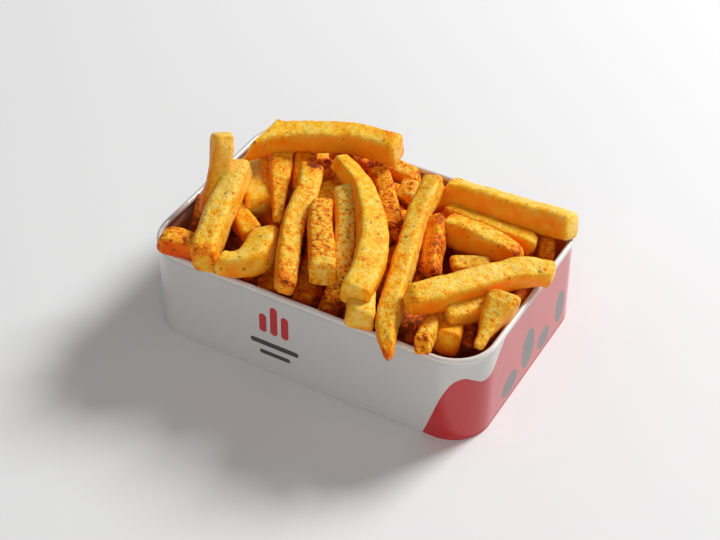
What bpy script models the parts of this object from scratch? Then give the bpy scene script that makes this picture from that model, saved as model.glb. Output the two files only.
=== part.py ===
"""French fries heaped in a rectangular paper carton with round corners and a rolled rim.

Metres, +Z up. The origin is the middle of the carton's underside and +X runs along its long side.
"""

import math
import random
from collections import namedtuple

import bmesh
import bpy
from mathutils import Vector

MM = 0.001

# Carton, in metres
CARTON_LENGTH = 0.150
CARTON_WIDTH = 0.1015
CARTON_HEIGHT = 0.042
RIM_CORNER_RADIUS = 0.018
BASE_CORNER_RADIUS = 0.0168
BOARD = 0.0008
RIM_RADIUS = 0.0012
RIM_OVERHANG = 0.0005
BASE_EDGE = 0.0006
CORNER_STEPS = 7
RIM_SIDES = 8

# Fries, in metres
SIDE_OF_SEEN_WIDTH = 0.93
CORNER_FLAT = 0.62
END_CHAMFER = 0.0012
END_SIZE = 0.8
MOST_ROLL = 14
LAID_FRY_WIDTH = (8.8, 10.2)
GAP_TO_CARTON = 0.0004

# Core of fries packed too deep to show, in metres
CORE_GAP = 0.0006
CORE_SHOULDER = 0.021
CORE_TOP = 0.030
CORE_TOP_INSET = 0.016

# The view in which the fries' ends were read: degrees, metres and pixels of its 720 x 540 picture
VIEW_AZIMUTH = 29.7
VIEW_ELEVATION = 40.4
VIEW_DISTANCE = 0.688
VIEW_SHIFT_RIGHT = -0.0022
VIEW_SHIFT_UP = 0.0171
FOCAL_PIXELS = 1649.0
PICTURE_CENTRE = (360.0, 270.0)

# A fry's middle line as pixels of that view, the height of its two ends above the table in mm,
# and its width at the two ends in mm
Fry = namedtuple("Fry", "seen height width")

FRIES = {
    "deep_middle": Fry(((392, 212), (396, 262)), (36, 34), (9.0, 9.0)),
    "deep_centre": Fry(((380, 250), (384, 300)), (39, 37), (9.0, 9.0)),
    "deep_left": Fry(((227, 196), (211, 240)), (34, 32), (9.0, 9.0)),
    "deep_cross": Fry(((262, 215), (296, 248)), (36, 36), (9.5, 9.0)),
    "deep_right": Fry(((456, 270), (480, 304)), (34, 33), (9.5, 9.0)),
    "stub_at_right_wall": Fry(((546, 238), (544, 264)), (41, 36), (7.0, 7.0)),
    "stub_left_of_spotted": Fry(((270, 246), (268, 298)), (34, 33), (7.0, 7.0)),
    "stub_under_cut_end": Fry(((314, 262), (303, 310)), (34, 33), (9.0, 8.5)),
    "stub_under_crusty": Fry(((340, 272), (326, 319)), (33, 33), (9.0, 8.5)),
    "end_under_crusty": Fry(((343, 262), (334, 300)), (41, 42), (8.0, 8.0)),
    "dark_at_front": Fry(((413, 296), (408, 340)), (37, 36), (9.5, 9.0)),
    "dark_at_back": Fry(((346, 152), (376, 171)), (44, 41), (8.6, 8.4)),
    "flat_at_back": Fry(((386, 168), (421, 181)), (42, 42), (7.5, 6.5)),
    "curled_end": Fry(((414, 181), (405, 203)), (45, 42), (6.5, 7.5)),
    "sliver_at_back": Fry(((325, 158), (328, 182)), (44, 44), (6.0, 6.0)),
    "crust_strip": Fry(((330, 150), (356, 167)), (51, 48), (5.5, 5.0)),
    "thick_at_left": Fry(((250, 160), (263, 214)), (43, 44), (9.6, 10.2)),
    "low_at_left": Fry(((234, 210), (254, 238)), (42, 43), (9.0, 8.8)),
    "sliver_at_left": Fry(((264, 156), (270, 190)), (49, 49), (5.4, 4.0)),
    "under_top": Fry(((306, 146), (301, 200)), (50, 45), (9.5, 9.0)),
    "tapered": Fry(((281, 150), (278, 219)), (51, 49), (8.6, 4.0)),
    "crusty_at_back": Fry(((374, 168), (384, 188), (396, 240)), (49, 44), (8.0, 9.0)),
    "second_at_right": Fry(((443, 209), (537, 246)), (45, 44), (7.8, 7.5)),
    "cross_at_right": Fry(((448, 268), (492, 268)), (43, 43), (7.5, 7.0)),
    "dark_slab": Fry(((446, 222), (430, 280)), (41, 43), (9.6, 8.0)),
    "dark_strip": Fry(((428, 240), (419, 288)), (39, 39), (7.0, 7.0)),
    "low_at_right": Fry(((444, 316), (486, 305)), (46, 44), (8.6, 8.0)),
    "cut_face": Fry(((452, 322), (447, 344)), (37, 40.5), (9.5, 9.8)),
    "behind_cut_face": Fry(((468, 322), (462, 352)), (36, 35), (8.0, 8.0)),
    "crusty_at_front": Fry(((437, 318), (420, 348)), (41, 46.8), (7.4, 6.6)),
    "brown_at_corner": Fry(((499, 316), (486, 344)), (39, 35), (6.5, 6.0)),
    "wedge": Fry(((508, 296), (492, 318), (477, 348)), (48, 42.5), (12.5, 4.4)),
    "on_left_corner": Fry(((158, 237), (215, 252)), (48.4, 42.5), (9.8, 9.4)),
    "bent": Fry(((217, 263), (243, 266), (260, 254), (270, 230)), (47.8, 45), (8.8, 9.2)),
    "behind_cut_end": Fry(((327, 186), (329, 240)), (48, 45), (8.0, 8.0)),
    "stub_under_curved": Fry(((361, 293), (360, 327)), (46, 48), (11.0, 11.3)),
    "crusty_in_middle": Fry(((344, 186), (346, 230), (342, 278)), (51, 46), (7.6, 8.4)),
    "spotted": Fry(
        ((310, 167), (306, 195), (294, 222), (288, 258), (284, 294)), (54, 48.5), (9.6, 9.8)
    ),
    "cut_end": Fry(((321, 198), (320, 225), (323, 277)), (55, 51), (10.0, 10.8)),
    "curved": Fry(
        ((336, 158), (360, 190), (369, 216), (371, 234), (369, 265), (352, 299)),
        (57, 53),
        (9.4, 12.2),
    ),
    "third_at_right": Fry(((438, 227), (470, 239), (500, 253), (521, 263)), (51, 47), (10.8, 8.4)),
    "leaning_at_left": Fry(((222, 131), (220, 158), (213, 185), (206, 210)), (70, 44), (8.4, 9.0)),
    "over_front_left": Fry(((241, 160), (229, 192), (216, 222), (203, 266)), (53, 48.4), (10.4, 11)),
    "long_at_back_right": Fry(((444, 191), (505, 211), (549, 223), (573, 224)), (48, 48.6), (12, 12.2)),
    "long_over_front": Fry(
        ((437, 177), (421, 211), (410, 246), (399, 280), (386, 326), (389, 358)),
        (56, 45),
        (9.8, 6.4),
    ),
    "over_right_rim": Fry(
        ((403, 297), (430, 297), (457, 290), (484, 280), (517, 271), (554, 271)),
        (54, 48.4),
        (11.2, 12.0),
    ),
    "top": Fry(((248, 149), (275, 138), (320, 137), (360, 140), (398, 152)), (60, 57), (11.0, 11.4)),
}

# Fries laid under those: middle x, y and height in mm, heading in degrees and length in mm
Laid = namedtuple("Laid", "x y height heading length")

LAID_FRIES = (
    Laid(-22, 40, 36, 3, 66),
    Laid(34, 39, 37, -3, 56),
    Laid(-50, 34, 38, 24, 38),
    Laid(-64, 14, 31, 84, 50),
    Laid(-64, -19, 27, 95, 42),
    Laid(66, -2, 33, 88, 56),
    Laid(57, 26, 38, 68, 30),
    Laid(6, 33, 38, 8, 60),
    Laid(-30, 27, 39, -34, 50),
    Laid(32, 21, 38, 9, 58),
    Laid(-44, -18, 33, -52, 58),
    Laid(-14, -16, 31, -62, 60),
    Laid(14, 2, 37, -58, 56),
    Laid(24, -24, 30, -48, 44),
    Laid(44, -22, 29, 20, 42),
    Laid(48, 14, 36, -20, 38),
    Laid(-44, -36, 30, 8, 34),
    Laid(38, -31, 31, -80, 22),
    Laid(53, -27, 30, -40, 24),
)

CARTON_COLOUR = (0.86, 0.84, 0.80)
FRIES_COLOUR = (0.83, 0.42, 0.06)


def clear_scene():
    for obj in list(bpy.data.objects):
        bpy.data.objects.remove(obj, do_unlink=True)


def material(name, colour, roughness):
    made = bpy.data.materials.new(name)
    made.use_nodes = True
    shader = made.node_tree.nodes["Principled BSDF"]
    shader.inputs["Base Color"].default_value = (*colour, 1.0)
    shader.inputs["Roughness"].default_value = roughness
    made.diffuse_color = (*colour, 1.0)
    return made


def skin(name, rings):
    """A closed body through rings of equal point count, with flat ends."""
    body = bmesh.new()
    loops = [[body.verts.new(point) for point in ring] for ring in rings]
    for lower, upper in zip(loops, loops[1:]):
        for i in range(len(lower)):
            j = (i + 1) % len(lower)
            body.faces.new((lower[i], lower[j], upper[j], upper[i]))
    body.faces.new(tuple(reversed(loops[0])))
    body.faces.new(loops[-1])
    bmesh.ops.recalc_face_normals(body, faces=body.faces)
    mesh = bpy.data.meshes.new(name)
    body.to_mesh(mesh)
    body.free()
    return bpy.data.objects.new(name, mesh)


def outline(inset, height):
    """Points round the carton, moved inwards from its rim by inset, at one height."""
    share = min(1.0, max(0.0, height / CARTON_HEIGHT))
    corner = BASE_CORNER_RADIUS + (RIM_CORNER_RADIUS - BASE_CORNER_RADIUS) * share
    half_x = CARTON_LENGTH / 2 - corner
    half_y = CARTON_WIDTH / 2 - corner
    middles = ((half_x, -half_y), (half_x, half_y), (-half_x, half_y), (-half_x, -half_y))
    points = []
    for quarter, (x, y) in enumerate(middles):
        for step in range(CORNER_STEPS):
            angle = math.radians(90 * (quarter - 1 + step / (CORNER_STEPS - 1)))
            reach = corner - inset
            points.append(Vector((x + reach * math.cos(angle), y + reach * math.sin(angle), height)))
    return points


def carton_solid(name, grow=0.0):
    """Base, wall and rolled rim in one piece. With grow, every face of it moves outwards by that much."""
    outer = RIM_OVERHANG - grow
    inner = RIM_OVERHANG + BOARD + grow
    bead = RIM_RADIUS + grow
    first = math.asin((outer - RIM_RADIUS) / bead)
    last = math.asin((inner - RIM_RADIUS) / bead) - 2 * math.pi
    section = [(outer + BASE_EDGE, -grow), (outer, BASE_EDGE - grow)]
    for step in range(RIM_SIDES + 1):
        turn = first + (last - first) * step / RIM_SIDES
        height = CARTON_HEIGHT - RIM_RADIUS - bead * math.cos(turn)
        section.append((RIM_RADIUS + bead * math.sin(turn), height))
    section.append((inner, BOARD + grow))
    return skin(name, [outline(inset, height) for inset, height in section])


def view_axes():
    azimuth = math.radians(VIEW_AZIMUTH)
    elevation = math.radians(VIEW_ELEVATION)
    back = Vector(
        (
            math.sin(azimuth) * math.cos(elevation),
            -math.cos(azimuth) * math.cos(elevation),
            math.sin(elevation),
        )
    )
    right = Vector((math.cos(azimuth), math.sin(azimuth), 0.0))
    return right, back.cross(right), back


def seen_at(pixel, height):
    """The point that the view shows at a pixel, at a height above the table."""
    right, up, back = view_axes()
    eye = back * VIEW_DISTANCE + right * VIEW_SHIFT_RIGHT + up * VIEW_SHIFT_UP
    across = (pixel[0] - PICTURE_CENTRE[0]) / FOCAL_PIXELS
    down = (pixel[1] - PICTURE_CENTRE[1]) / FOCAL_PIXELS
    ray = right * across - up * down - back
    return eye + ray * ((height - eye.z) / ray.z)


def through(points, share):
    """A point at a share of the way along a smooth curve through the given pixels."""
    if len(points) == 2:
        return Vector(points[0]).lerp(Vector(points[1]), share)
    place = share * (len(points) - 1)
    i = min(int(place), len(points) - 2)
    t = place - i
    here, after = Vector(points[i]), Vector(points[i + 1])
    before = Vector(points[i - 1]) if i > 0 else 2 * here - after
    beyond = Vector(points[i + 2]) if i + 2 < len(points) else 2 * after - here
    return 0.5 * (
        2 * here
        + (after - before) * t
        + (2 * before - 5 * here + 4 * after - beyond) * t * t
        + (3 * here - before - 3 * after + beyond) * t * t * t
    )


def middle_line(fry):
    """Points along a fry that shows, more of them where it bends."""
    count = 3 if len(fry.seen) == 2 else 2 * len(fry.seen) - 1
    line = []
    for step in range(count):
        share = step / (count - 1)
        height = fry.height[0] + (fry.height[1] - fry.height[0]) * share
        line.append(seen_at(through(fry.seen, share), height * MM))
    return line


def section_ring(middle, along, side, roll):
    """Eight points of a square with cut corners, across the direction of a fry."""
    level = Vector((along.y, -along.x, 0.0)).normalized()
    rise = level.cross(along)
    across = level * math.cos(roll) + rise * math.sin(roll)
    upward = rise * math.cos(roll) - level * math.sin(roll)
    half = side / 2
    corner = half * CORNER_FLAT
    quarter = ((half, -corner), (half, corner), (corner, half), (-corner, half))
    square = quarter + tuple((-x, -y) for x, y in quarter)
    return [middle + across * x + upward * y for x, y in square]


def fry_solid(name, line, width, roll):
    """A cut potato stick along a line, with its end edges chamfered."""
    steps = len(line) - 1
    sides = [
        (width[0] + (width[1] - width[0]) * i / steps) * MM * SIDE_OF_SEEN_WIDTH for i in range(steps + 1)
    ]
    start = (line[1] - line[0]).normalized()
    end = (line[-1] - line[-2]).normalized()
    rings = [
        section_ring(line[0], start, sides[0] * END_SIZE, roll),
        section_ring(line[0] + start * END_CHAMFER, start, sides[0], roll),
    ]
    for i in range(1, steps):
        along = (line[i + 1] - line[i - 1]).normalized()
        rings.append(section_ring(line[i], along, sides[i], roll))
    rings.append(section_ring(line[-1] - end * END_CHAMFER, end, sides[-1], roll))
    rings.append(section_ring(line[-1], end, sides[-1] * END_SIZE, roll))
    return skin(name, rings)


def seen_fries():
    """The fries that show, each rolled a little about its own length."""
    dice = random.Random(5)
    return [
        fry_solid(name, middle_line(fry), fry.width, math.radians(dice.uniform(-MOST_ROLL, MOST_ROLL)))
        for name, fry in FRIES.items()
    ]


def laid_fries():
    """The fries that lie under those, level and straight."""
    dice = random.Random(11)
    made = []
    for i, laid in enumerate(LAID_FRIES):
        heading = math.radians(laid.heading)
        half = Vector((math.cos(heading), math.sin(heading), 0.0)) * laid.length * MM / 2
        middle = Vector((laid.x, laid.y, laid.height)) * MM
        width = dice.uniform(*LAID_FRY_WIDTH)
        roll = math.radians(dice.uniform(-MOST_ROLL, MOST_ROLL))
        line = [middle - half, middle, middle + half]
        made.append(fry_solid(f"laid_{i}", line, (width, width), roll))
    return made


def core_solid():
    """A low block inside the walls, sloping in from its shoulder to its top."""
    at_wall = RIM_OVERHANG + BOARD + CORE_GAP
    section = (
        (at_wall, BOARD + CORE_GAP),
        (at_wall, CORE_SHOULDER),
        (CORE_TOP_INSET, CORE_TOP),
    )
    return skin("fries", [outline(inset, height) for inset, height in section])


def apply_boolean(obj, operation, operand):
    """Joins a collection to the object, or cuts another object from it, for good."""
    change = obj.modifiers.new(operation, "BOOLEAN")
    change.operation = operation
    change.solver = "EXACT"
    if isinstance(operand, bpy.types.Collection):
        change.operand_type = "COLLECTION"
        change.collection = operand
    else:
        change.object = operand
    bpy.context.view_layer.objects.active = obj
    bpy.ops.object.modifier_apply(modifier=change.name)


def shells_of(body):
    """The faces of a mesh in groups that share edges."""
    waiting = set(body.faces)
    shells = []
    while waiting:
        shell = []
        found = [waiting.pop()]
        while found:
            face = found.pop()
            shell.append(face)
            for edge in face.edges:
                beside = waiting.intersection(edge.link_faces)
                waiting -= beside
                found.extend(beside)
        shells.append(shell)
    return shells


def keep_largest_body(obj):
    """Drops the skins of sealed hollows and loose scraps, so that one solid body is left."""
    body = bmesh.new()
    body.from_mesh(obj.data)
    shells = shells_of(body)
    largest = max(shells, key=lambda shell: sum(face.calc_area() for face in shell))
    loose = [face for shell in shells if shell is not largest for face in shell]
    bmesh.ops.delete(body, geom=loose, context="FACES")
    body.to_mesh(obj.data)
    body.free()


def heap_of_fries():
    """The core and every fry fused into one solid, cut clear of the carton."""
    heap = core_solid()
    bpy.context.scene.collection.objects.link(heap)
    pieces = bpy.data.collections.new("pieces")
    bpy.context.scene.collection.children.link(pieces)
    for fry in seen_fries() + laid_fries():
        pieces.objects.link(fry)
    apply_boolean(heap, "UNION", pieces)
    for fry in list(pieces.objects):
        bpy.data.objects.remove(fry, do_unlink=True)
    bpy.data.collections.remove(pieces)
    clearance = carton_solid("clearance", GAP_TO_CARTON)
    bpy.context.scene.collection.objects.link(clearance)
    apply_boolean(heap, "DIFFERENCE", clearance)
    bpy.data.objects.remove(clearance, do_unlink=True)
    keep_largest_body(heap)
    heap.data.materials.append(material("fries", FRIES_COLOUR, 0.45))
    return heap


def paper_carton():
    carton = carton_solid("carton")
    bpy.context.scene.collection.objects.link(carton)
    carton.data.materials.append(material("carton", CARTON_COLOUR, 0.5))
    carton.data.shade_smooth()
    carton.data.set_sharp_from_angle(angle=math.radians(35))
    return carton


def main():
    clear_scene()
    paper_carton()
    heap_of_fries()


main()
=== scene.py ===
"""French fries in a paper carton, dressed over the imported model.

The file is laid out as an add-on. Run as a script, it makes each piece and the stage in turn.
Lengths are in metres unless a name or a comment says mm or pixels. +Z is up, and +X runs along
the carton's long side.
"""

import math
import random
from collections import namedtuple

import bmesh
import bpy
import numpy as np
from bpy.props import FloatProperty, FloatVectorProperty, PointerProperty
from mathutils import Matrix, Vector, geometry, noise


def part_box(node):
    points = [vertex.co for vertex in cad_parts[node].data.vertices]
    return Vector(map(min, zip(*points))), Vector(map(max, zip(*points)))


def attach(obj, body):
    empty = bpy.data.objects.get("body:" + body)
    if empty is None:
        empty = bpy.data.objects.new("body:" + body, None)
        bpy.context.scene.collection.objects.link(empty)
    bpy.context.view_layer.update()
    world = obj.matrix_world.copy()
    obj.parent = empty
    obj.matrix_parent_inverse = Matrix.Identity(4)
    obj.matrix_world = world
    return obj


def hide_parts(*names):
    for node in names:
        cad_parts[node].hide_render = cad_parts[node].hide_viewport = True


bl_info = {
    "name": "French fries in a paper carton",
    "version": (1, 0, 0),
    "blender": (4, 5, 0),
    "location": "View3D > Sidebar > Fries",
    "description": "Makes a carton of fries with its print, and a stage to show it on",
    "category": "Object",
}

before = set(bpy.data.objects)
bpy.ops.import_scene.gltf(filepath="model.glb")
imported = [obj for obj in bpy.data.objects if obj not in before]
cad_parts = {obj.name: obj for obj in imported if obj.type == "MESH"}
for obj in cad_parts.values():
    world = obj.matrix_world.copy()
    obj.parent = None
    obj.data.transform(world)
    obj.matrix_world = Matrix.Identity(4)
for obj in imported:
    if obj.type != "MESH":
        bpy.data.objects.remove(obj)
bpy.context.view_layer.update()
CARTON_LOW, CARTON_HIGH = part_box("carton")

MM = 0.001
BODY = "root"

# Carton
CARTON_LENGTH = CARTON_HIGH.x - CARTON_LOW.x
CARTON_WIDTH = CARTON_HIGH.y - CARTON_LOW.y
CARTON_HEIGHT = CARTON_HIGH.z
BOARD = 0.0008
RIM_CORNER_RADIUS = 0.018
BASE_CORNER_RADIUS = 0.0168
RIM_OVERHANG = 0.0005
RIM_RADIUS = 0.0012
RIM_STEPS = 16
BASE_EDGE = 0.0006
BASE_EDGE_STEPS = 4
INSIDE_HEIGHTS = (0.036, 0.030, 0.022, 0.014, 0.007)
FLOOR_FILLET = 0.0012
FLOOR_FILLET_STEPS = 5
FLOOR_INSET = 0.006
# Depth below the rim over which the inside is painted darker and orange, as shade and light from the fries
SHADE_AND_GREASE_REACH = 0.011

# The underside's flat foot and raised middle, as insets from the rim and heights
FOOT = ((0.0042, 0.0), (0.0046, 0.0002), (0.0070, 0.0002))

# Lengths of the rim's outline, and where the wall's mesh is closed, from the middle of the front
STRAIGHT_X = CARTON_LENGTH - 2 * RIM_CORNER_RADIUS
STRAIGHT_Y = CARTON_WIDTH - 2 * RIM_CORNER_RADIUS
ARC = RIM_CORNER_RADIUS * math.pi / 2
AROUND = 2 * (STRAIGHT_X + STRAIGHT_Y) + 4 * ARC
SEAM = -AROUND / 4

# The crease above the base, and the lap of the board's two ends
CREASE_HEIGHT = 0.0019
CREASE_DEPTH = 0.00014
CREASE_HALF_WIDTH = 0.00028
LAP_PLACE = 0.272
LAP_THICKNESS = 0.0002
LAP_LENGTH = 0.025
LAP_EDGE = 0.00015

# Columns and rows of points on the printed wall, and their least distance from the print's own
COLUMN_STEP = 0.0016
LEAST_COLUMN_GAP = 0.3 * COLUMN_STEP
ROWS_FROM = 0.003
ROW_STEP = 0.0019
PRINT_ROOM = 0.0005

# Distances that count as nothing: from the wall's edges, between points, in cutting the print,
# and where a direction is worked out
EDGE_ROOM = 0.00001
WELD_DISTANCE = 1e-6
CUT_TOLERANCE = 1e-7
LEAST_REACH = 1e-9

# Which of the carton's materials a face has
WHITE, RED, DARK, INSIDE, RIM = range(5)

# Print, in mm: along the wall from the middle of the front, and up from the table.
# An oval is its middle and its half sizes, and a bar or rule its middle, foot, length and height.
RED_EDGE_FRONT = (
    (52.7, 0.6), (54.9, 7.0), (57.8, 15.5), (61.2, 24.0), (65.0, 30.2), (69.4, 32.4),
    (73.6, 30.6), (77.6, 28.4), (81.6, 28.6), (85.6, 31.6), (89.6, 35.8), (93.6, 39.8),
)
RED_MIDDLE = 130.0
RED_STEP = 1.0
GREY_OVALS = (
    (101.0, 8.6, 6.6, 5.2), (116.5, 14.6, 5.6, 9.8), (131.5, 8.0, 5.2, 5.0), (146.0, 13.5, 4.2, 8.4),
)
OVAL_POINTS = 40
EMBLEM_BARS = ((-17.4, 20.6, 3.4, 9.4), (-12.4, 20.6, 3.4, 14.4), (-7.4, 20.6, 3.4, 11.4))
EMBLEM_RULES = ((-12.4, 13.4, 22.0, 2.6), (-12.4, 8.6, 14.0, 2.2))
BAR_POINTS = 24

# Rows of faces round the base's edge over which the red field goes on
PRINTED_BASE_ROWS = 2

# A kind of fry: seeds of its draws and of its first fry, ring step as a multiple of the setting,
# points in a ring, and real width as a share of the stated one
Kind = namedtuple("Kind", "draws first_seed step_factor ring_points fullness")

SHOWN = Kind(5, 1, 1.0, 28, 0.99)
LAID = Kind(11, 101, 1.4, 20, 0.93)
BEDDED = Kind(23, 200, 1.8, 16, 0.93)

# A fry's own unevenness: angles in degrees, shares of its size, and lengths
MOST_ROLL = 14
MOST_TWIST = 7
MOST_CUT_SLOPE = 0.34
ASPECT = (0.95, 1.05)
SQUARENESS = (4.4, 7.0)
WIDTH_CHANGE = 0.05
WIDTH_CHANGE_OVER = 0.012
SWAY = 0.0004
SWAY_OVER = 0.016
DENT = 0.07
DENT_OVER = 0.009

# Relief of a fry's faces: sizes of its lumps, blisters and crust, the last two's heights beside the
# lumps', the levels from which lumps and crust rise, and the shift of the noise from fry to fry
LUMP_SIZE = 0.0048
BLISTER_SIZE = 0.0023
CRUST_SIZE = 0.0015
BLISTER_RISE = 0.8
CRUST_RISE = 1.4
LUMP_LEVEL = 0.3
CRUST_LEVEL = 0.35
SEED_SHIFT = (0.13, 0.07, 0.05)

# A slanting cut draws the end back by a share of its slope, and fades out along the fry
CUT_PULL = 0.9
CUT_FADE = 2.2
LEAST_CUT_FADE = 0.008

# Steps in a fry's middle line, least number of rings between its ends, and the rings at an end:
# shares of its flat face, then shares of its rounded length
LINE_STEPS = 48
LEAST_BODY_RINGS = 4
FACE_RINGS = (0.36, 0.7)
ROUND_RINGS = (0.0, 0.05, 0.16, 0.36, 0.64, 1.0)

# The sharpest and the softest rounding of an end in mm, the share of the fry's width that its
# flat face keeps with each, and how far the face swells out
END_ROUNDNESS = (1.2, 3.6)
SHARP_FACE = 0.8
SOFT_FACE = 0.46
CAP_DOME = 0.0004

# Gaps that the fries keep to the rolled rim and to the wall
RIM_CLEARANCE = 0.00012
WALL_CLEARANCE = 0.00025

# The view in which the fries' ends were read: degrees, metres and pixels of its 720 x 540 picture
VIEW_AZIMUTH = 29.7
VIEW_ELEVATION = 40.4
VIEW_DISTANCE = 0.688
VIEW_SHIFT_RIGHT = -0.0022
VIEW_SHIFT_UP = 0.0171
FOCAL_PIXELS = 1649.0
PICTURE_CENTRE = (360.0, 270.0)

# A fry's middle line as pixels of that view, the height of its two ends above the table in mm,
# its width in mm at even steps along it, and how browned and how crusty it is from 0 to 1
Fry = namedtuple("Fry", "seen height width brown crust")

FRIES = {
    "deep_middle": Fry(((392, 212), (396, 262)), (36, 34), (9.0, 9.0), 0.35, 0.3),
    "deep_centre": Fry(((380, 250), (384, 300)), (39, 37), (9.0, 9.0), 0.38, 0.3),
    "deep_left": Fry(((227, 196), (211, 240)), (34, 32), (9.0, 9.0), 0.35, 0.3),
    "deep_cross": Fry(((262, 215), (296, 248)), (36, 36), (9.5, 9.0), 0.4, 0.3),
    "deep_right": Fry(((456, 270), (480, 304)), (34, 33), (9.5, 9.0), 0.35, 0.3),
    "stub_at_right_wall": Fry(((546, 238), (544, 264)), (41, 36), (7.6, 7.2), 0.2, 0.6),
    "stub_left_of_spotted": Fry(((270, 246), (268, 298)), (34, 33), (8.0, 8.4), 0.22, 0.8),
    "stub_under_cut_end": Fry(((314, 262), (303, 310)), (34, 33), (9.0, 9.4), 0.26, 0.8),
    "stub_under_crusty": Fry(((340, 272), (326, 319)), (33, 33), (9.0, 8.5), 0.24, 1.0),
    "end_under_crusty": Fry(((343, 262), (334, 300)), (41, 42), (8.0, 8.0), 0.4, 1.0),
    # dark_at_front is browned deep as painted shade: it lies in a shaded gap
    "dark_at_front": Fry(((414, 294), (408, 340)), (36, 35), (11.0, 10.0), 0.72, 0.8),
    "dark_at_back": Fry(((346, 152), (376, 171)), (44, 41), (8.6, 8.4), 0.6, 0.6),
    "flat_at_back": Fry(((386, 168), (421, 181)), (42, 42), (9.0, 7.5), 0.12, 0.9),
    "curled_end": Fry(((414, 181), (405, 203)), (45, 42), (7.5, 8.5), 0.08, 1.0),
    "sliver_at_back": Fry(((325, 158), (328, 182)), (44, 44), (6.0, 6.0), 0.5, 0.4),
    "crust_strip": Fry(((330, 150), (356, 167)), (51, 48), (5.5, 5.0), 0.55, 0.8),
    "thick_at_left": Fry(((250, 160), (263, 213)), (43, 45), (9.6, 11.8), 0.0, 0.2),
    "low_at_left": Fry(((234, 210), (254, 238)), (42, 43), (9.6, 9.2), 0.24, 0.3),
    "sliver_at_left": Fry(((264, 156), (270, 190)), (49, 49), (5.4, 4.0), 0.36, 0.3),
    "under_top": Fry(((306, 146), (301, 200)), (50, 45), (9.5, 9.0), 0.4, 0.3),
    "tapered": Fry(((281, 148), (280, 172), (277, 221)), (51, 49), (10.6, 9.6, 6.6, 3.6), 0.34, 0.5),
    "crusty_at_back": Fry(
        ((374, 168), (384, 188), (396, 240)), (49, 44), (8.6, 9.4), 0.46, 0.8
    ),
    "second_at_right": Fry(((445, 211), (539, 248)), (45, 44), (8.4, 8.4), 0.2, 0.2),
    "cross_at_right": Fry(((448, 268), (492, 268)), (43, 43), (8.5, 7.5), 0.18, 0.5),
    "dark_slab": Fry(((437, 218), (428, 280)), (51, 44), (8.4, 8.2), 0.6, 0.5),
    "dark_strip": Fry(((428, 240), (419, 288)), (39, 39), (7.0, 7.0), 0.5, 0.4),
    "low_at_right": Fry(((441, 316), (486, 305)), (46, 44), (9.4, 9.2), 0.1, 0.5),
    "cut_face": Fry(((452, 322), (447, 344)), (37, 40.5), (9.5, 10.6), 0.2, 0.0),
    "behind_cut_face": Fry(((468, 322), (462, 352)), (36, 35), (8.0, 8.0), 0.5, 0.3),
    "crusty_at_front": Fry(((437, 318), (420, 348)), (41, 46.8), (7.4, 6.8), 0.22, 1.0),
    "brown_at_corner": Fry(((499, 316), (486, 344)), (39, 35), (6.5, 6.0), 0.5, 0.7),
    "wedge": Fry(
        ((508, 296), (492, 318), (477, 350)), (48, 42.5), (13.2, 13.0, 9.0, 5.0, 4.4), 0.12, 0.6
    ),
    "on_left_corner": Fry(((157, 237), (215, 252)), (48.4, 42.5), (9.8, 9.4), 0.48, 0.7),
    "bent": Fry(
        ((213, 261), (236, 264), (252, 260), (262, 249), (268, 233)), (47.8, 46),
        (8.2, 8.6, 11.6, 12.0, 10.0), 0.14, 0.3,
    ),
    "behind_cut_end": Fry(((327, 184), (329, 240)), (48, 45), (8.4, 8.0), 0.3, 0.4),
    "stub_under_curved": Fry(((361, 293), (360, 327)), (46, 48), (11.0, 11.5), 0.04, 0.3),
    "crusty_in_middle": Fry(
        ((344, 186), (346, 230), (341, 280)), (54, 48), (8.6, 9.2), 0.16, 1.0
    ),
    "spotted": Fry(
        ((311, 168), (306, 195), (294, 222), (288, 256), (285, 291)), (54, 48.5),
        (10.2, 10.2, 9.4, 9.4, 8.2), 0.2, 0.5,
    ),
    "cut_end": Fry(((321, 200), (320, 225), (323, 278)), (55, 51), (9.6, 11.4), 0.34, 0.9),
    "curved": Fry(
        ((336, 158), (360, 187), (369, 213), (372, 238), (369, 265), (354, 300)),
        (57, 53), (7.6, 8.6, 11.4, 12.4, 12.0), 0.16, 0.2,
    ),
    "third_at_right": Fry(
        ((443, 227), (468, 236), (496, 247), (523, 258)), (47, 47), (11.6, 11.6, 11.0, 9.6, 6.0),
        0.16, 0.5,
    ),
    "leaning_at_left": Fry(
        ((222, 131), (221, 158), (216, 185), (208, 217)), (70, 43), (8.4, 9.0), 0.24, 0.4
    ),
    "over_front_left": Fry(
        ((241, 166), (229, 193), (216, 222), (202, 264)), (53, 48.4), (11.4, 11.0, 11), 0.06, 0.5
    ),
    "long_at_back_right": Fry(
        ((444, 191), (505, 209), (549, 221), (577, 228)), (48, 48.6), (12.2, 12.0, 11.4), 0.12, 0.2
    ),
    "long_over_front": Fry(
        ((435, 180), (418, 216), (407, 252), (397, 286), (387, 326), (390, 360)), (56, 45),
        (8.4, 8.6, 8.6, 8.6, 8.6, 8.6, 8.6, 8.6, 7.4, 3.6), 0.14, 0.4,
    ),
    "over_right_rim": Fry(
        ((404, 300), (430, 296), (457, 289), (486, 281), (521, 273), (558, 275)),
        (54, 48.4), (9.8, 11.2, 10.8, 10.4, 10.2, 8.0), 0.12, 0.3,
    ),
    "top": Fry(
        ((237, 147), (275, 138), (320, 137), (360, 140), (400, 152)), (60, 57), (10.8, 11.4), 0.12, 0.2
    ),
    "strip_at_left": Fry(((206, 196), (198, 234)), (39, 36), (7.0, 6.6), 0.5, 0.5),
}

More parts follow.
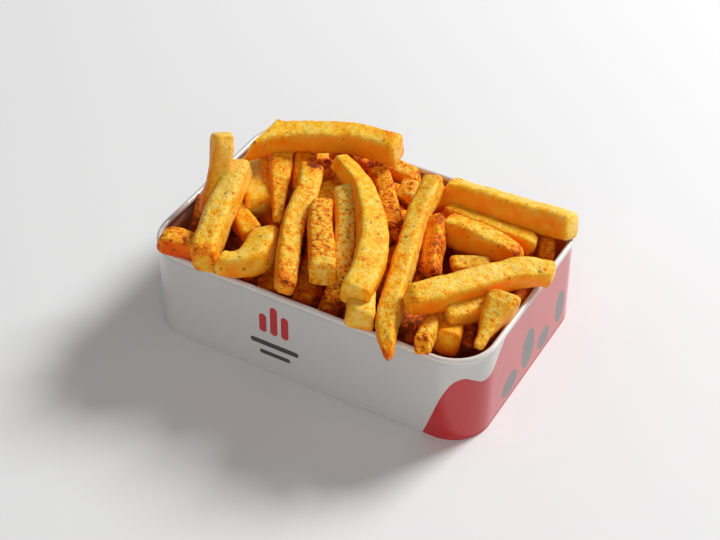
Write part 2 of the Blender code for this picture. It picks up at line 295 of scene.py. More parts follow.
# Slopes of the cut at a fry's two ends, across it and upwards, where the photo shows them
CUTS = {
    "top": ((-1.7, 0.4), (0.0, 0.1)),
    "over_right_rim": ((-0.1, 0.1), (0.35, 0.1)),
    "long_at_back_right": ((0.0, 0.2), (0.2, 0.1)),
    "curved": ((0.2, 0.2), (0.1, -0.1)),
    "cut_end": ((0.1, 0.2), (0.1, 0.1)),
    "third_at_right": ((0.0, 0.1), (0.3, 0.1)),
    "leaning_at_left": ((0.1, 0.1), (0.0, 0.1)),
    "over_front_left": ((0.1, 0.1), (0.2, 0.1)),
    "spotted": ((-0.1, 0.1), (0.1, 0.1)),
    "long_over_front": ((0.1, 0.1), (-0.5, 0.1)),
}

# Degrees by which a fry is rolled about its length, where the photo shows one face much wider
ROLLS = {"long_at_back_right": 24, "dark_slab": -24, "leaning_at_left": 30}

# Roundness in mm of a fry's two ends, where the photo shows them cut clean or rounded
ENDS = {
    "cut_end": (2.4, 1.6),
    "over_front_left": (2.0, 1.4),
    "on_left_corner": (5.2, 2.0),
    "spotted": (1.6, 4.4),
    "top": (1.2, 1.6),
    "curved": (2.0, 1.6),
    "stub_under_curved": (3.0, 5.0),
    "cut_face": (2.0, 1.2),
    "over_right_rim": (3.4, 2.2),
    "long_at_back_right": (2.0, 1.8),
    "long_over_front": (1.4, 4.0),
    "low_at_right": (1.4, 1.4),
    "third_at_right": (2.0, 3.6),
    "leaning_at_left": (1.6, 2.0),
    "crusty_in_middle": (1.6, 2.4),
    "wedge": (2.2, 2.6),
}

# Faces turned from the light are smooth and painted deeper orange, as painted shade, but for the ends of a
# fry
LIT_DIRECTION = (0.35, 0.4, 0.9)
SHADE_FROM = 0.66
END_CRUST = 0.8
END_REACH = 0.003

# Fries deep in the heap are smoother, and painted browner and more orange, as painted shade
DEEP_BELOW = 0.046
DEEP_OVER = 0.014
DEEP_SHADED_SIDE = 0.7
DEEP_SHADE = 0.48

# How much a fry is browned towards each end, how much paler an end's face is, and how much its
# edges, one of its sides and its lumps are browned
END_BROWNING = (0.05, 0.34)
END_BROWNING_OVER = 0.005
FACE_PALENESS = (-0.34, -0.08)
EDGE_BROWNING = 0.05
SIDE_BROWNING = 0.06
LUMP_BROWNING = 0.1

# Spots: share of the way along the fry, angle round it, radius in mm, and browning or paleness
Spot = namedtuple("Spot", "fry share angle radius brown")

SPOTS = (
    Spot("spotted", 0.03, 95, 2.4, 1.4),
    Spot("spotted", 0.74, 95, 1.1, 0.6),
    Spot("spotted", 0.95, 90, 6.0, 0.25),
    Spot("third_at_right", 0.92, 60, 6.0, 0.3),
    # Painted light: this pale spot lightens leaning_at_left's face towards the light
    Spot("leaning_at_left", 0.1, 90, 18.0, -0.35),
    Spot("over_front_left", 0.0, 90, 14.0, -0.25),
    Spot("over_front_left", 1.0, 90, 8.0, 0.3),
    Spot("over_right_rim", 0.93, 75, 1.2, 0.6),
    Spot("long_over_front", 1.0, 90, 9.0, 0.4),
    Spot("cut_end", 1.0, 90, 9.0, -0.35),
    # Painted highlight: a pale spot on the lower end of curved
    Spot("curved", 1.0, 90, 9.0, -0.3),
    Spot("long_at_back_right", 1.0, 90, 9.0, -0.2),
    Spot("crusty_in_middle", 0.02, 90, 7.0, -0.3),
)

# Fries laid under those: middle x, y and height in mm, heading in degrees and length in mm
Laid = namedtuple("Laid", "x y height heading length")

LAID_FRIES = (
    Laid(-22, 40, 36, 3, 66),
    Laid(34, 39, 37, -3, 56),
    Laid(-50, 34, 38, 24, 38),
    Laid(-64, 14, 31, 84, 50),
    Laid(-64, -19, 27, 95, 42),
    Laid(62, -2, 26, 88, 56),
    Laid(57, 26, 38, 68, 30),
    Laid(6, 33, 38, 8, 60),
    Laid(-30, 27, 39, -34, 50),
    Laid(32, 21, 38, 9, 58),
    Laid(-44, -18, 33, -52, 58),
    Laid(-14, -16, 31, -62, 60),
    Laid(14, 2, 37, -58, 56),
    Laid(24, -24, 30, -48, 44),
    Laid(44, -22, 29, 20, 42),
    Laid(48, 14, 36, -20, 38),
    Laid(-44, -36, 30, 8, 34),
    Laid(38, -31, 31, -80, 22),
    Laid(53, -27, 30, -40, 24),
)
LAID_WIDTH = (8.8, 10.2)
LAID_BROWN = 0.3
LAID_CRUST = 0.4

# Core of fries packed too deep to show: columns, rows at the wall and up the slope, rings of its
# top as shares of the top's edge, and lumps as pairs of size and height
CORE_COLUMNS = 150
CORE_LOW_INSET = 0.002
CORE_WALL_ROWS_MM = (2.5, 6, 10, 14, 18, 21)
CORE_SLOPE_ROWS = 6
CORE_TOP_RINGS = (0.8, 0.6, 0.4, 0.2)
CORE_SHOULDER = 0.021
CORE_TOP = 0.030
CORE_TOP_INSET = 0.016
CORE_GAP = 0.0006
CORE_SHRINK = 0.0012
CORE_LUMPS = ((0.006, 0.003), (0.0025, 0.0012))
# The core is painted dark brown and in the shaded side's orange: painted shade for the gaps between fries
CORE_SHADED_LOOK = {"brown": 0.85, "crust": 0.8, "side": 0.7}

# Fries bedded in the core's top: how many, where and how large in mm, how browned and crusty, and
# their middle line's least distance from the rim's outline in metres
BEDDED_FRIES = 40
BEDDED_X = (-60, 60)
BEDDED_Y = (-38, 38)
BEDDED_HEIGHT = (25.0, 29.0)
BEDDED_LENGTH = (30.0, 46.0)
BEDDED_WIDTH = (8.2, 9.8)
BEDDED_BROWN = (0.3, 0.5)
BEDDED_CRUST = 0.5
BEDDED_ROOM = 0.008

# Colours that have no setting
# The brown of the scale painted as shade on faces turned from the light
SHADED_BROWN_COLOUR = (0.8, 0.085, 0.002)
HERB_COLOUR = (0.44, 0.15, 0.01)
PEPPER_COLOUR = (0.16, 0.07, 0.01)
WHITE_COLOUR = (1.0, 1.0, 1.0)
ROOM_COLOUR = (1.0, 0.965, 0.945)

# Stage: places, sizes and colours
FLOOR_SIDE = 9.0
LIGHT_TARGET = (0.0, 0.0, 0.02)
KEY_PLACE = (0.666, 1.512, 1.261)
KEY_SIZE = 0.754
KEY_COLOUR = (0.975, 0.99, 1.0)
FILL_PLACE = (0.45, -1.05, 0.5)
FILL_SIZE = 0.9
FILL_COLOUR = (1.0, 0.96, 0.94)


def colour_setting(name, description, default):
    return FloatVectorProperty(
        name=name, description=description, subtype="COLOR", size=3, min=0, max=1, default=default
    )


def length_setting(name, description, lowest, highest, default):
    return FloatProperty(
        name=name, description=description, subtype="DISTANCE", unit="LENGTH", min=lowest,
        max=highest, default=default,
    )


class CartonLook(bpy.types.PropertyGroup):
    board_colour: colour_setting("Board", "Coated paper board", (0.62, 0.608, 0.59))
    rim_colour: colour_setting(
        "Rim", "The unprinted board of the rim and of the inside near it", (0.76, 0.72, 0.68)
    )
    # Painted shade and orange light from the fries, with grease: the inside turns to this colour below the
    # rim
    shade_and_grease_colour: colour_setting(
        "Greased", "Inside of the board where the fries lie", (0.82, 0.22, 0.03)
    )
    red_colour: colour_setting(
        "Red ink", "The wave round one end and the emblem's bars", (0.53, 0.009, 0.014)
    )
    dark_colour: colour_setting("Dark ink", "The ovals and the emblem's rules", (0.03, 0.03, 0.03))
    bulge: length_setting("Bulge", "How far the long walls belly out", 0, 0.0004, 0.0003)


class FriesLook(bpy.types.PropertyGroup):
    pale_colour: colour_setting("Pale", "The least fried faces", (0.99, 0.6, 0.036))
    golden_colour: colour_setting("Golden", "Most of each fry", (1.0, 0.41, 0.009))
    brown_colour: colour_setting("Brown", "Crusty fries and their ends", (0.82, 0.155, 0.005))
    burnt_colour: colour_setting("Burnt", "Dark spots", (0.22, 0.035, 0.004))
    # The shaded side's colour is painted shade, for faces turned from the light, for deep fries and for the
    # core
    shaded_side_colour: colour_setting("Clean", "The smooth cut faces", (1.0, 0.215, 0.0015))
    ring_step: length_setting(
        "Ring step", "Length of a fry between two rings of points", 0.0005, 0.004, 0.00085
    )
    lumps: length_setting(
        "Lumps", "Height of the unevenness of a fry's faces", 0, 0.001, 0.0003
    )


class StageLook(bpy.types.PropertyGroup):
    floor_colour: colour_setting("Floor", "Pale studio floor", (0.845, 0.845, 0.845))
    key_power: FloatProperty(
        name="Key light", description="Power of the large soft light", min=0, default=47.7
    )
    fill_power: FloatProperty(
        name="Fill light", description="Power of the light on the shaded front", min=0, default=3.5
    )
    room_strength: FloatProperty(
        name="Room", description="Brightness of the room all round", min=0, default=0.25
    )


class Shader:
    """The nodes of one material, with short ways to add them and join them."""

    def __init__(self, name):
        self.material = bpy.data.materials.new(name)
        self.material.use_nodes = True
        self.tree = self.material.node_tree
        self.surface = self.tree.nodes["Principled BSDF"]
        self.place = self.add("ShaderNodeTexCoord").outputs["Object"]

    def add(self, kind, inputs=None, **settings):
        """A new node. Its inputs are given as values or as other nodes' outputs."""
        node = self.tree.nodes.new(kind)
        for key, value in settings.items():
            setattr(node, key, value)
        for key, value in (inputs or {}).items():
            self.set(node.inputs[key], value)
        return node

    def set(self, socket, value):
        """Gives an input a value, or joins it to another node's output."""
        if isinstance(value, bpy.types.NodeSocket):
            self.tree.links.new(value, socket)
        else:
            socket.default_value = value

    def finish(self, **values):
        """Sets the surface's own inputs, named with _ for each space."""
        for key, value in values.items():
            self.set(self.surface.inputs[key.replace("_", " ")], value)

    def noise(self, size, detail=1.0, roughness=0.5):
        """Noise from 0 to 1 in lumps of the given size."""
        inputs = {"Vector": self.place, "Scale": 1 / size, "Detail": detail, "Roughness": roughness}
        return self.add("ShaderNodeTexNoise", inputs).outputs["Fac"]

    def maths(self, operation, first, second=0.0, clamp=False):
        node = self.add("ShaderNodeMath", {0: first, 1: second}, operation=operation)
        node.use_clamp = clamp
        return node.outputs[0]

    def scaled(self, value, middle, amount):
        """The value's distance from its middle, times an amount."""
        return self.maths("MULTIPLY", self.maths("SUBTRACT", value, middle), amount)

    def total(self, *values):
        added = values[0]
        for value in values[1:]:
            added = self.maths("ADD", added, value)
        return added

    def attribute(self, name):
        return self.add("ShaderNodeAttribute", attribute_name=name).outputs["Fac"]

    def ramp(self, value, stops):
        """A colour for the value, from (place, colour) pairs."""
        node = self.add("ShaderNodeValToRGB", {"Fac": value})
        elements = node.color_ramp.elements
        while len(elements) < len(stops):
            elements.new(0.5)
        for element, (place, colour) in zip(elements, stops):
            element.position = place
            element.color = (*colour, 1.0)
        return node.outputs["Color"]

    def mix(self, share, first, second):
        """Colour going from first to second as the share goes from 0 to 1."""
        node = self.add("ShaderNodeMix", data_type="RGBA")
        for index, value in ((0, share), (6, first), (7, second)):
            self.set(node.inputs[index], (*value, 1.0) if isinstance(value, tuple) else value)
        return node.outputs[2]

    def bump(self, height, depth, strength, below=None):
        """A surface that rises by the depth as the height goes from 0 to 1, over another bump."""
        inputs = {"Height": height, "Distance": depth, "Strength": strength}
        if below is not None:
            inputs["Normal"] = below
        return self.add("ShaderNodeBump", inputs).outputs["Normal"]


def mixed(first, second, share):
    """A colour that goes from first to second as the share goes from 0 to 1."""
    return tuple(a + (b - a) * share for a, b in zip(first, second))


def board_material(name, colour, roughness=0.42):
    """Coated board or ink on it: satin, with faint fibres and a slightly uneven tint."""
    shader = Shader(name)
    tint = shader.noise(0.012, detail=3.0)
    shade = tuple(channel * 0.95 for channel in colour)
    fibres = shader.noise(0.0007, detail=3.0, roughness=0.6)
    rippled = shader.bump(shader.noise(0.02), depth=0.0006, strength=0.25)
    shader.finish(
        Base_Color=shader.mix(tint, colour, shade),
        Roughness=shader.total(roughness, shader.scaled(fibres, 0.5, 0.12)),
        Normal=shader.bump(fibres, depth=0.00003, strength=0.5, below=rippled),
        Specular_IOR_Level=0.2,
        Coat_Weight=1.0,
        Coat_Roughness=0.12,
        Coat_IOR=1.55,
    )
    return shader.material


def inside_material(look):
    """The board's inner face, pale at the rim and painted darker and orange below it: painted shade and
    orange light from the fries, with grease spots.
    """
    shader = Shader("board inside")
    board = tuple(look.rim_colour)
    shade_and_grease = tuple(look.shade_and_grease_colour)
    spots = shader.noise(0.007, detail=3.0, roughness=0.6)
    height = shader.add("ShaderNodeSeparateXYZ", {"Vector": shader.place}).outputs["Z"]
    # Darker and more orange with depth below the rim: painted shade and light from the fries, broken by
    # grease spots
    depth = shader.maths("DIVIDE", shader.maths("SUBTRACT", CARTON_HEIGHT, height), SHADE_AND_GREASE_REACH)
    share = shader.maths("ADD", depth, shader.scaled(spots, 0.55, 1.2), clamp=True)
    fibres = shader.noise(0.0007, detail=3.0, roughness=0.6)
    shader.finish(
        Base_Color=shader.mix(share, board, shade_and_grease),
        Roughness=shader.total(0.55, shader.scaled(share, 0.5, -0.25)),
        Normal=shader.bump(fibres, depth=0.00004, strength=0.5),
        Specular_IOR_Level=0.05,
    )
    return shader.material


def fried_colour(shader, look, level, smooth):
    """Pale to burnt as the level rises, by one scale on faces towards the light and by a deeper orange one,
    painted shade, on faces turned from it.
    """
    lit_face = shader.ramp(
        level,
        (
            (0.0, mixed(look.pale_colour, WHITE_COLOUR, 0.1)),
            (0.1, tuple(look.pale_colour)),
            (0.36, tuple(look.golden_colour)),
            (0.7, tuple(look.brown_colour)),
            (1.0, tuple(look.burnt_colour)),
        ),
    )
    # The deeper orange scale for faces turned from the light: painted shade
    cut_face = shader.ramp(
        level,
        (
            (0.0, mixed(look.shaded_side_colour, look.pale_colour, 0.5)),
            (0.35, tuple(look.shaded_side_colour)),
            (0.75, SHADED_BROWN_COLOUR),
            (1.0, tuple(look.burnt_colour)),
        ),
    )
    return shader.mix(smooth, lit_face, cut_face)


def fry_material(look, name):
    """Fried potato: mottled and seasoned on faces towards the light, and smooth and painted deeper orange, as
    painted shade, on faces turned from it.
    """
    shader = Shader(name)
    brown = shader.attribute("brown")
    crust = shader.attribute("crust")
    # side rises to 1 on the faces painted as shaded, and is 0 on those towards the light
    smooth = shader.attribute("side")
    patches = shader.noise(0.006, detail=2.0)
    mottling = shader.noise(0.0023, detail=4.0, roughness=0.66)
    grain = shader.noise(0.0009, detail=3.0, roughness=0.65)
    uneven = shader.maths("ADD", shader.maths("MULTIPLY", crust, 1.2), 0.5)
    contrast = shader.maths("MULTIPLY", uneven, shader.maths("SUBTRACT", 1.0, smooth))
    mottled = shader.total(shader.scaled(mottling, 0.5, 1.9), shader.scaled(grain, 0.5, 1.3))
    level = shader.total(
        brown,
        shader.scaled(patches, 0.5, 0.7),
        shader.maths("MULTIPLY", mottled, contrast),
    )
    blotches = shader.scaled(shader.noise(0.0013), 0.61, 9.0)
    herbs = shader.maths("MULTIPLY", blotches, contrast, clamp=True)
    pepper = speck_mask(shader, spacing=0.0026, radius=0.16, bare_share=0.8)
    seasoned = fried_colour(shader, look, level, smooth)
    for amount, share, colour in ((herbs, 0.55, HERB_COLOUR), (pepper, 0.6, PEPPER_COLOUR)):
        seasoned = shader.mix(shader.maths("MULTIPLY", amount, share), seasoned, colour)
    dryness = shader.total(shader.maths("MULTIPLY", brown, 0.35), shader.maths("MULTIPLY", crust, 0.1))
    raised = shader.maths("MULTIPLY", shader.maths("SUBTRACT", 1.0, mottling), contrast)
    blisters = shader.bump(raised, depth=0.0011, strength=0.7)
    grained = shader.bump(grain, depth=0.0003, strength=0.6, below=blisters)
    shader.finish(
        Base_Color=seasoned,
        Roughness=shader.total(0.32, shader.scaled(grain, 0.5, 0.3), dryness),
        Normal=shader.bump(pepper, depth=0.00012, strength=0.8, below=grained),
        Subsurface_Weight=0.45,
        Subsurface_Radius=(1.0, 0.36, 0.08),
        Subsurface_Scale=0.0032,
        Specular_IOR_Level=0.3,
        Specular_Tint=(1.0, 0.7, 0.3, 1.0),
    )
    return shader.material


def speck_mask(shader, spacing, radius, bare_share, sharpness=40.0):
    """1 on small flecks, at most one in each cell of the given spacing, and 0 between them.

    The radius is a middling fleck's, as a share of the spacing, and bare_share of the cells have none.
    """
    inputs = {"Vector": shader.place, "Scale": 1 / spacing}
    cells = shader.add("ShaderNodeTexVoronoi", inputs)
    chance = shader.add("ShaderNodeSeparateColor", {"Color": cells.outputs["Color"]}).outputs[0]
    steepness = radius / (1 - bare_share) * 2
    reach = shader.maths("MULTIPLY", shader.maths("SUBTRACT", chance, bare_share), steepness)
    inside = shader.maths("SUBTRACT", reach, cells.outputs["Distance"])
    return shader.maths("MULTIPLY", inside, sharpness, clamp=True)


def mesh_object(name, points, faces, materials, face_materials=None):
    """A smoothly shaded mesh in the scene, with the materials' indexes where there are several."""
    mesh = bpy.data.meshes.new(name)
    mesh.from_pydata([tuple(point) for point in points], [], [tuple(face) for face in faces])
    for made in materials:
        mesh.materials.append(made)
    if face_materials is not None:
        mesh.polygons.foreach_set("material_index", face_materials)
    mesh.shade_smooth()
    mesh.validate()
    mesh.update()
    obj = bpy.data.objects.new(name, mesh)
    bpy.context.scene.collection.objects.link(obj)
    return obj


def corners_at(height):
    """The radius of the carton's corners at a height, and the middles of the four."""
    share = min(1.0, max(0.0, height / CARTON_HEIGHT))
    corner = BASE_CORNER_RADIUS + (RIM_CORNER_RADIUS - BASE_CORNER_RADIUS) * share
    half_x = CARTON_LENGTH / 2 - corner
    half_y = CARTON_WIDTH / 2 - corner
    return corner, ((-half_x, -half_y), (half_x, -half_y), (half_x, half_y), (-half_x, half_y))


def wall_point(along, height, inset):
    """A point of the carton's side, moved inwards from its rim's outline by inset.

    along is the distance round the rim, from the middle of the front towards +X.
    """
    corner, middles = corners_at(height)
    rest = (along + STRAIGHT_X / 2) % AROUND
    for side in range(4):
        straight = STRAIGHT_X if side % 2 == 0 else STRAIGHT_Y
        turn = math.radians(90 * (side - 1))
        if rest <= straight:
            start, end = Vector(middles[side]), Vector(middles[(side + 1) % 4])
            middle = start.lerp(end, rest / straight)
            break
        rest -= straight
        if rest <= ARC:
            middle = Vector(middles[(side + 1) % 4])
            turn += rest / RIM_CORNER_RADIUS
            break
        rest -= ARC
    reach = corner - inset
    return Vector((middle.x + reach * math.cos(turn), middle.y + reach * math.sin(turn), height))


def bump_between(place, start, end):
    """0 outside a stretch and up to 1 in its middle, smoothly."""
    share = (place - start) / (end - start)
    return math.sin(math.pi * share) ** 2 if 0 < share < 1 else 0.0


def wall_inset(along, height, bulge):
    """How far the outer face stands in from the rim, with its belly, crease and lap.

    The wall's top and bottom edges keep to the plain outline, where the rim and the base join on.
    """
    if not BASE_EDGE + EDGE_ROOM < height < rim_start() - EDGE_ROOM:
        return RIM_OVERHANG
    inset = RIM_OVERHANG
    belly = bump_between(height, 0.0, CARTON_HEIGHT)
    for middle in (0.0, AROUND / 2):
        inset -= bulge * belly * bump_between(along, middle - STRAIGHT_X / 2, middle + STRAIGHT_X / 2)
    inset += CREASE_DEPTH * bump_between(
        height, CREASE_HEIGHT - CREASE_HALF_WIDTH, CREASE_HEIGHT + CREASE_HALF_WIDTH
    )
    if LAP_PLACE - LAP_LENGTH < along <= LAP_PLACE:
        inset -= LAP_THICKNESS * (along - LAP_PLACE + LAP_LENGTH) / LAP_LENGTH
    return inset


def smooth_between(points, i, share):
    """A point at a share of the way from one point to the next, on a smooth curve through all."""
    here, after = Vector(points[i]), Vector(points[i + 1])
    before = Vector(points[i - 1]) if i > 0 else 2 * here - after
    beyond = Vector(points[i + 2]) if i + 2 < len(points) else 2 * after - here
    return 0.5 * (
        2 * here
        + (after - before) * share
        + (2 * before - 5 * here + 4 * after - beyond) * share * share
        + (3 * here - before - 3 * after + beyond) * share * share * share
    )


def smooth_curve(points, step):
    """Points at about the given spacing on a smooth curve through the given ones."""
    made = []
    for i in range(len(points) - 1):
        count = max(1, round((Vector(points[i + 1]) - Vector(points[i])).length / step))
        made += [smooth_between(points, i, part / count) for part in range(count)]
    return made + [Vector(points[-1])]


def red_field():
    """The outline of the red wave round the +X end, counter-clockwise along and up the wall."""
    front = smooth_curve(RED_EDGE_FRONT, RED_STEP)
    back = [Vector((2 * RED_MIDDLE - point.x, point.y)) for point in front]
    return [point * MM for point in back + list(reversed(front))]


def oval(along, height, half_length, half_height):
    """An oval's outline round its middle on the wall."""
    points = []
    for i in range(OVAL_POINTS):
        turn = 2 * math.pi * i / OVAL_POINTS
        place = Vector((along + half_length * math.cos(turn), height + half_height * math.sin(turn)))
        points.append(place * MM)
    return points


def rounded_bar(along, height, length, thickness):
    """A bar with half-round ends, centred along the wall and standing on the given height."""
    radius = min(length, thickness) / 2
    middle = height + thickness / 2
    points = []
    for i in range(BAR_POINTS):
        turn = 2 * math.pi * (i + 0.5) / BAR_POINTS
        side = math.copysign(length / 2 - radius, math.cos(turn))
        level = math.copysign(thickness / 2 - radius, math.sin(turn))
        place = (along + side + radius * math.cos(turn), middle + level + radius * math.sin(turn))
        points.append(Vector(place) * MM)
    return points


def printed_shapes():
    """Each printed field's outline on the wall and its ink."""
    shapes = [(red_field(), RED)]
    shapes += [(oval(*place), DARK) for place in GREY_OVALS]
    for shift in (0.0, AROUND / 2 / MM):
        shapes += [(rounded_bar(x + shift, *rest), RED) for x, *rest in EMBLEM_BARS]
        shapes += [(rounded_bar(x + shift, *rest), DARK) for x, *rest in EMBLEM_RULES]
    return shapes


def rim_start():
    """Height at which the wall's outer face meets the rolled rim."""
    return CARTON_HEIGHT - RIM_RADIUS - math.sqrt(RIM_RADIUS**2 - (RIM_RADIUS - RIM_OVERHANG) ** 2)


def wall_columns():
    """Distances along the wall at which its mesh has a column of points."""
    count = round(AROUND / COLUMN_STEP)
    columns = [SEAM + AROUND * i / count for i in range(count + 1)]
    edges = [RED_EDGE_FRONT[0][0], RED_EDGE_FRONT[-1][0]]
    edges += [2 * RED_MIDDLE - edge for edge in edges]
    special = [edge * MM for edge in edges] + [LAP_PLACE, LAP_PLACE + LAP_EDGE]
    far = [c for c in columns if all(abs(c - s) > LEAST_COLUMN_GAP for s in special)]
    return sorted(far + special)


def wall_rows():
    """Heights at which the printed wall's mesh has a row of points."""
    top = rim_start()
    crease = [CREASE_HEIGHT + CREASE_HALF_WIDTH * k for k in (-1, -0.5, 0, 0.5, 1)]
    count = round((top - ROWS_FROM) / ROW_STEP)
    return [BASE_EDGE] + crease + [ROWS_FROM + (top - ROWS_FROM) * i / count for i in range(count + 1)]


def outer_wall(look, columns):
    """Points and triangles of the printed wall, laid out flat, cut along the print and bent round."""
    rows = wall_rows()
    flat, outlines, inks = [], [], []
    for outline, ink in printed_shapes():
        outlines.append(list(range(len(flat), len(flat) + len(outline))))
        flat += [Vector((p.x, min(max(p.y, BASE_EDGE), rim_start()))) for p in outline]
        inks.append(ink)
    drawn = np.array([tuple(point) for point in flat])
    for column in columns:
        for row in rows:
            on_border = row in (rows[0], rows[-1]) or column in (columns[0], columns[-1])
            nearest = np.hypot(drawn[:, 0] - column, drawn[:, 1] - row).min()
            if on_border or nearest > PRINT_ROOM:
                flat.append(Vector((column, row)))
    cut = geometry.delaunay_2d_cdt(flat, [], outlines, 0, CUT_TOLERANCE)
    places, triangles, sources = cut[0], cut[2], cut[5]
    points = [wall_point(p.x, p.y, wall_inset(p.x, p.y, look.bulge)) for p in places]
    face_inks = [max([inks[source] for source in found], default=WHITE) for found in sources]
    return points, triangles, face_inks


def joined_rings(rings):
    """Quads between closed rings of equal length."""
    size = len(rings[0])
    faces = []
    for start in range(0, size * (len(rings) - 1), size):
        for i in range(size):
            j = (i + 1) % size
            faces.append((start + i, start + j, start + size + j, start + size + i))
    return faces


def section_rings(section, columns):
    """Rings of points round the carton, at each of the section's insets and heights."""
    return [[wall_point(column, height, inset) for column in columns] for inset, height in section]


def quarter_round(inset, height, radius, steps):
    """The section of a rounded corner, from a wall down to the level face at the given height."""
    section = []
    for step in range(steps + 1):
        turn = math.pi / 2 * step / steps
        reach = radius * (1 - math.cos(turn))
        section.append((inset + reach, height + radius * (1 - math.sin(turn))))
    return section


def rim_section():
    """Over the rolled rim, from the wall's outer face to its inner one."""
    start = math.asin((RIM_OVERHANG - RIM_RADIUS) / RIM_RADIUS)
    end = math.asin((RIM_OVERHANG + BOARD - RIM_RADIUS) / RIM_RADIUS) - 2 * math.pi
    section = []
    for step in range(RIM_STEPS + 1):
        turn = start + (end - start) * step / RIM_STEPS
        section.append(
            (RIM_RADIUS + RIM_RADIUS * math.sin(turn), CARTON_HEIGHT - RIM_RADIUS * (1 + math.cos(turn)))
        )
    return section


def inside_section():
    """Down the inner face and out over the floor."""
    inner = RIM_OVERHANG + BOARD
    wall = [(inner, height) for height in INSIDE_HEIGHTS]
    fillet = quarter_round(inner, BOARD, FLOOR_FILLET, FLOOR_FILLET_STEPS)
    return wall + fillet + [(inner + FLOOR_INSET, BOARD)]


def underside_section():
    """Round the base's lower edge and in to a slightly raised middle."""
    return quarter_round(RIM_OVERHANG, 0.0, BASE_EDGE, BASE_EDGE_STEPS) + list(FOOT)


def underside_inks(ring, count):
    """The ink of each of the underside's faces: the red field runs on round the base's edge."""
    red_from = RED_EDGE_FRONT[0][0] * MM - WELD_DISTANCE
    red_to = (2 * RED_MIDDLE - RED_EDGE_FRONT[0][0]) * MM - WELD_DISTANCE
    row = [RED if red_from < column < red_to else WHITE for column in ring]
    printed = row * PRINTED_BASE_ROWS
    return printed + [WHITE] * (count - len(printed))


class Gather:
    """Points and faces of several parts on their way into one mesh."""

    def __init__(self):
        self.points = []
        self.faces = []
        self.kinds = []

    def add(self, points, faces, kinds):
        """Adds a part's points, and its faces by those points' indexes, each with its material."""
        first = len(self.points)
        self.points += points
        self.faces += [[first + index for index in face] for face in faces]
        self.kinds += kinds


def all_points(rings):
    return [point for ring in rings for point in ring]


def last_ring_face(rings):
    """One face that closes the last of the rings."""
    size = len(rings[0])
    return tuple(range(size * (len(rings) - 1), size * len(rings)))


def make_carton(look):
    """The whole carton in one mesh: printed wall, rolled rim, inner face, floor and underside."""
    columns = wall_columns()
    ring = columns[:-1]
    gather = Gather()
    gather.add(*outer_wall(look, columns))
    rim = section_rings(rim_section(), ring)
    faces = joined_rings(rim)
    gather.add(all_points(rim), faces, [RIM] * len(faces))
    lining = [rim[-1]] + section_rings(inside_section(), ring)
    faces = joined_rings(lining) + [last_ring_face(lining)]
    gather.add(all_points(lining), faces, [INSIDE] * len(faces))
    below = section_rings(underside_section(), ring)
    faces = joined_rings(below) + [last_ring_face(below)]
    turned = [tuple(reversed(face)) for face in faces]
    gather.add(all_points(below), turned, underside_inks(ring, len(faces)))
    materials = {
        WHITE: board_material("white board", tuple(look.board_colour)),
        RED: board_material("red ink", tuple(look.red_colour), roughness=0.38),
        DARK: board_material("dark ink", tuple(look.dark_colour), roughness=0.4),
        INSIDE: inside_material(look),
        RIM: board_material("rim board", tuple(look.rim_colour)),
    }
    obj = mesh_object("carton_board", gather.points, gather.faces, materials.values(), gather.kinds)
    weld(obj)
    return obj


def weld(obj):
    """Joins points of the mesh that lie on each other."""
    body = bmesh.new()
    body.from_mesh(obj.data)
    bmesh.ops.remove_doubles(body, verts=body.verts, dist=WELD_DISTANCE)
    bmesh.ops.recalc_face_normals(body, faces=body.faces)
    body.to_mesh(obj.data)
    body.free()


def view_axes():
    """The view's directions to the right, upwards and back towards the camera."""
    azimuth = math.radians(VIEW_AZIMUTH)
    elevation = math.radians(VIEW_ELEVATION)
    back = Vector(
        (
            math.sin(azimuth) * math.cos(elevation),
            -math.cos(azimuth) * math.cos(elevation),
            math.sin(elevation),
        )
    )
    right = Vector((math.cos(azimuth), math.sin(azimuth), 0.0))
    return right, back.cross(right), back


def view_eye():
    """Where the camera of the view stands."""
    right, up, back = view_axes()
    return back * VIEW_DISTANCE + right * VIEW_SHIFT_RIGHT + up * VIEW_SHIFT_UP


def seen_at(pixel, height):
    """The point that the view shows at a pixel, at a height above the table."""
    right, up, back = view_axes()
    eye = view_eye()
    across = (pixel[0] - PICTURE_CENTRE[0]) / FOCAL_PIXELS
    down = (pixel[1] - PICTURE_CENTRE[1]) / FOCAL_PIXELS
    ray = right * across - up * down - back
    return eye + ray * ((height - eye.z) / ray.z)


def through(points, share):
    """A point at a share of the way along a smooth curve through the given pixels."""
    if len(points) == 2:
        return Vector(points[0]).lerp(Vector(points[1]), share)
    place = share * (len(points) - 1)
    i = min(int(place), len(points) - 2)
    return smooth_between(points, i, place - i)


def seen_line(fry):
    """Closely spaced points along the middle of a fry that shows."""
    points = []
    for step in range(LINE_STEPS + 1):
        share = step / LINE_STEPS
        height = fry.height[0] + (fry.height[1] - fry.height[0]) * share
        points.append(seen_at(through(fry.seen, share), height * MM))
    return np.array(points)


def laid_line(laid):
    """Closely spaced points along the middle of a level, straight fry."""
    heading = math.radians(laid.heading)
    half = Vector((math.cos(heading), math.sin(heading), 0.0)) * laid.length * MM / 2
    middle = Vector((laid.x, laid.y, laid.height)) * MM
    return np.array([middle + half * (2 * i / LINE_STEPS - 1) for i in range(LINE_STEPS + 1)])


def travelled(line):
    """How far along a line each of its points lies."""
    steps = np.linalg.norm(np.diff(line, axis=0), axis=1)
    return np.concatenate([[0.0], np.cumsum(steps)])


def unit(vectors):
    """The same directions at length 1."""
    return vectors / np.linalg.norm(vectors, axis=-1, keepdims=True)


def between(stations, path, values):
    """Rows of values, read off at stations along a path."""
    return np.stack([np.interp(stations, path, column) for column in values.T], axis=1)


def wander(places, seed, size):
    """Smooth values from about -1 to 1 at places along a fry."""
    return np.array([noise.noise(Vector((place / size, seed, 0.5))) for place in places])


